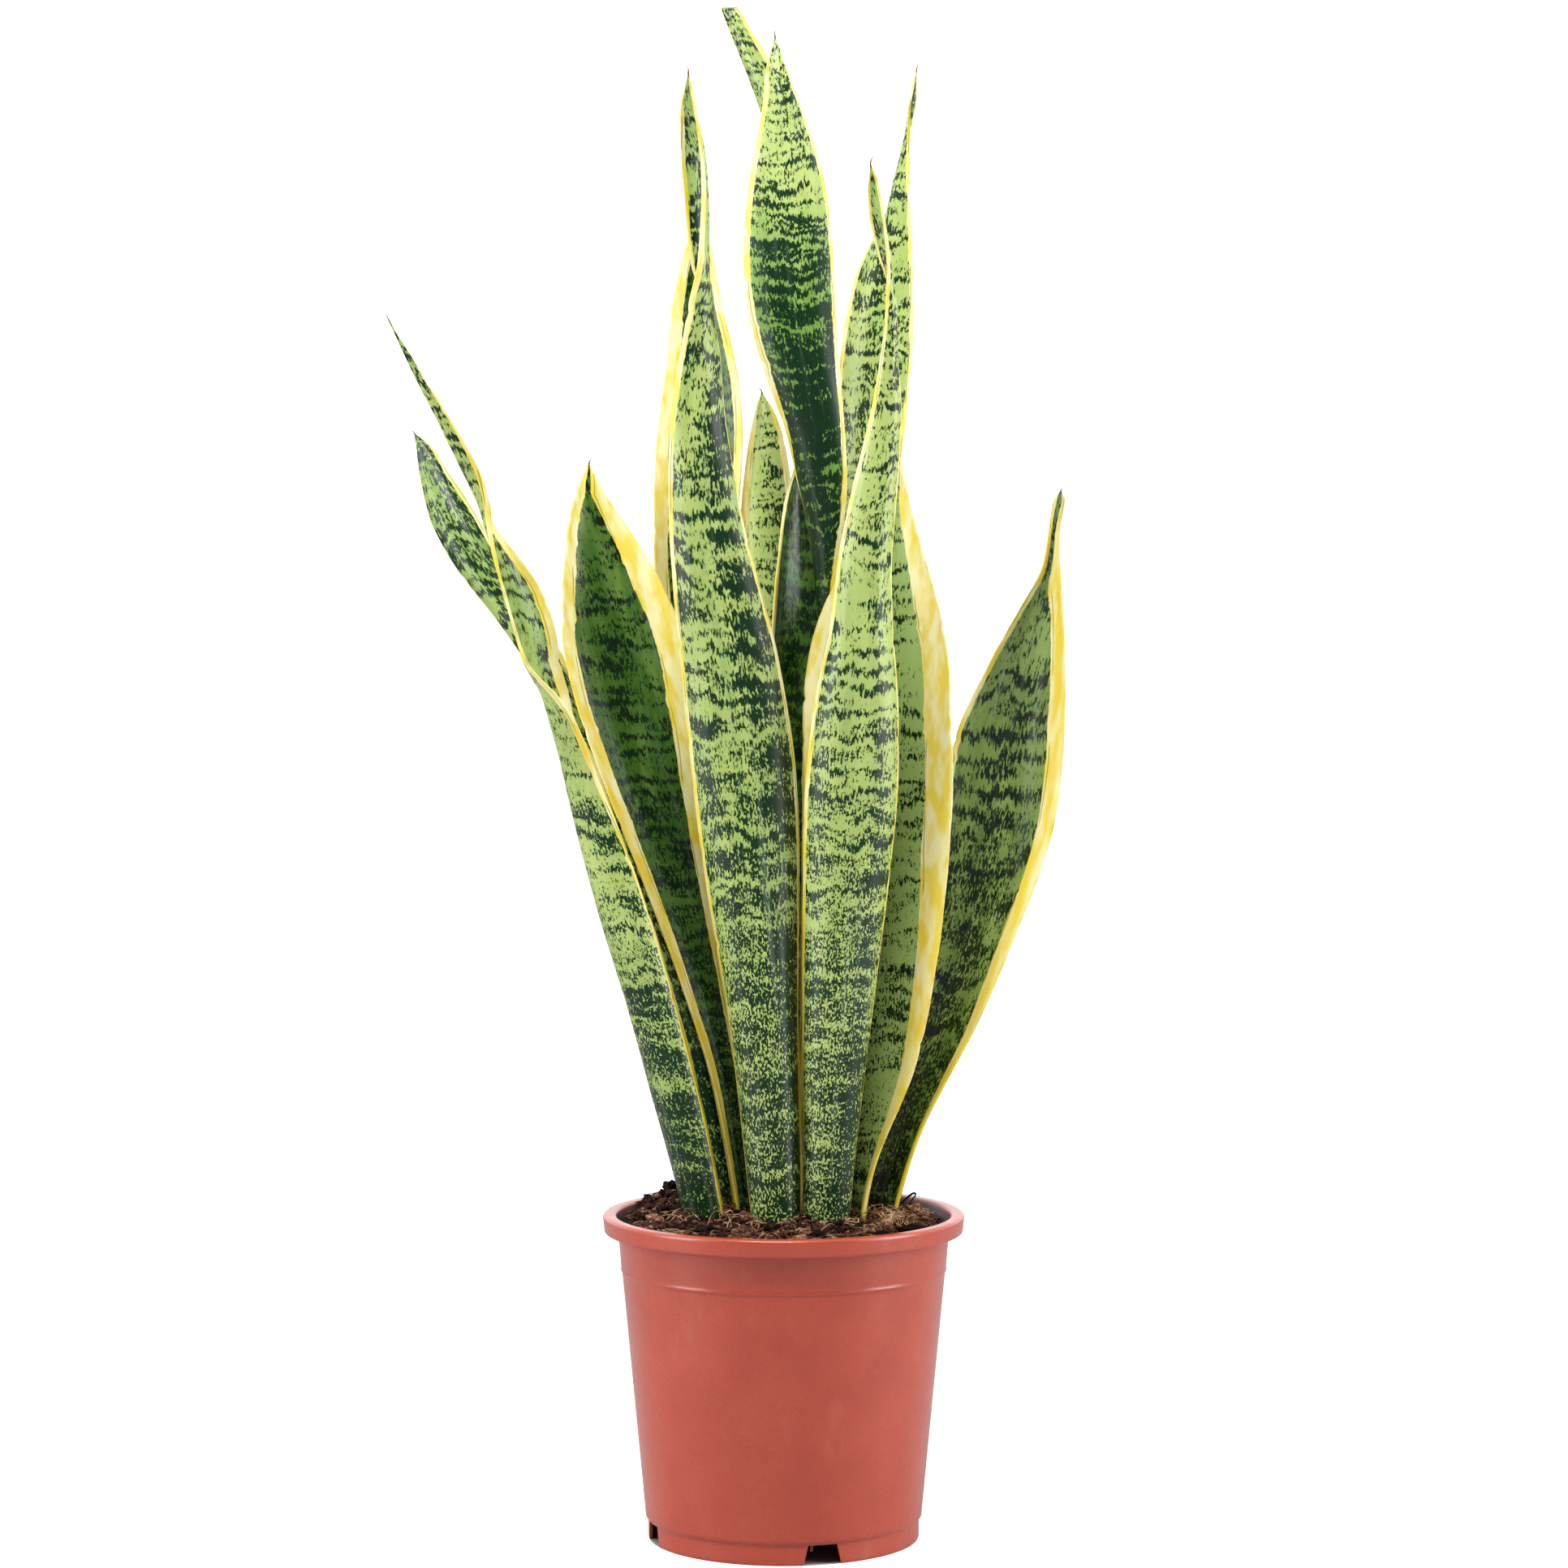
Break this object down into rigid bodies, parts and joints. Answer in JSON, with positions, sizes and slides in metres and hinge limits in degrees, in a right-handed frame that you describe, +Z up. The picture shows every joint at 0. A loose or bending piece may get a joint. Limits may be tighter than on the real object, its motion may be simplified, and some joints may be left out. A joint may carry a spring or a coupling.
{
  "type": "potted plant",
  "caption": "Potted snake plant: tall upright pointed leaves with dark cross bands and yellow margins, rising from potting soil in a round tapered nursery pot.",
  "frame": {"origin": "on the ground, below the middle of the whole plant's bounding box; the pot's own axis stands 30 mm to +X and 9 mm to -Y of it", "axes": "+Z up along the plant's height, -Y towards the front, +X to the right seen from the front"},
  "size_m": [0.3836, 0.228, 0.901],
  "materials": {
    "leaf": "satin",
    "soil": "matte",
    "pot": "satin"
  },
  "bodies": {
    "root": {"leaf_front_center": "leaf", "leaf_front_right": "leaf", "leaf_front_left_folded": "leaf", "leaf_back_left_leaning": "leaf", "leaf_left_broad": "leaf", "leaf_right_broad": "leaf", "leaf_right_leaning": "leaf", "leaf_center_tall": "leaf", "leaf_center_short": "leaf", "leaf_back_center_short": "leaf", "leaf_back_left_broad": "leaf", "leaf_back_center_tallest": "leaf", "leaf_back_right_twisted": "leaf", "soil": "soil", "nursery_pot": "pot"}
  },
  "joints": []
}
